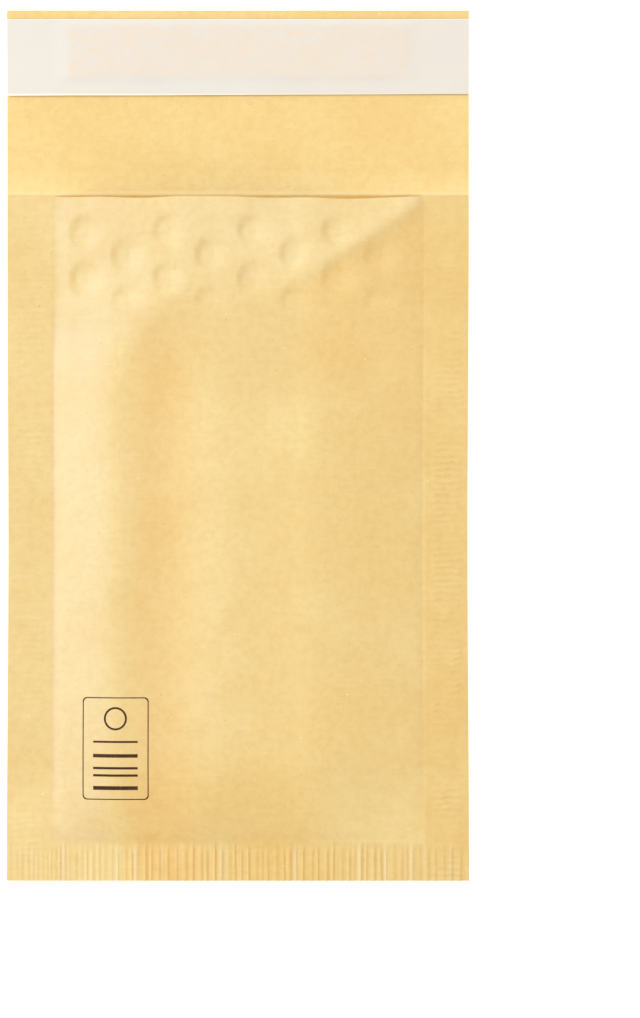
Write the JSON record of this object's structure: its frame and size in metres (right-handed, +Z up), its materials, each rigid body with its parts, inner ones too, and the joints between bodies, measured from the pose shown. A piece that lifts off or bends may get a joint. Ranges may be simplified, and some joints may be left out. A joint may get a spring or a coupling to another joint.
{
  "type": "padded envelope",
  "caption": "Small kraft padded envelope with bubble lining, crimped seals, an open flap and a peel-off strip over its adhesive.",
  "frame": {"origin": "centre of the whole envelope's bounding box, on the surface that it lies on", "axes": "+Y along the length, from the bottom seal to the flap's free edge; +Z up, out of the back panel"},
  "size_m": [0.12, 0.226, 0.0104],
  "materials": {
    "kraft": "matte golden kraft",
    "film": "clear polyethylene bubble film",
    "adhesive": "tacky hot melt",
    "liner": "smooth silicone-coated release paper"
  },
  "bodies": {
    "root": {"kraft_envelope": "kraft", "front_bubble_film": "film", "back_bubble_film": "film", "adhesive_strip": "adhesive", "release_liner": "liner"}
  },
  "joints": []
}
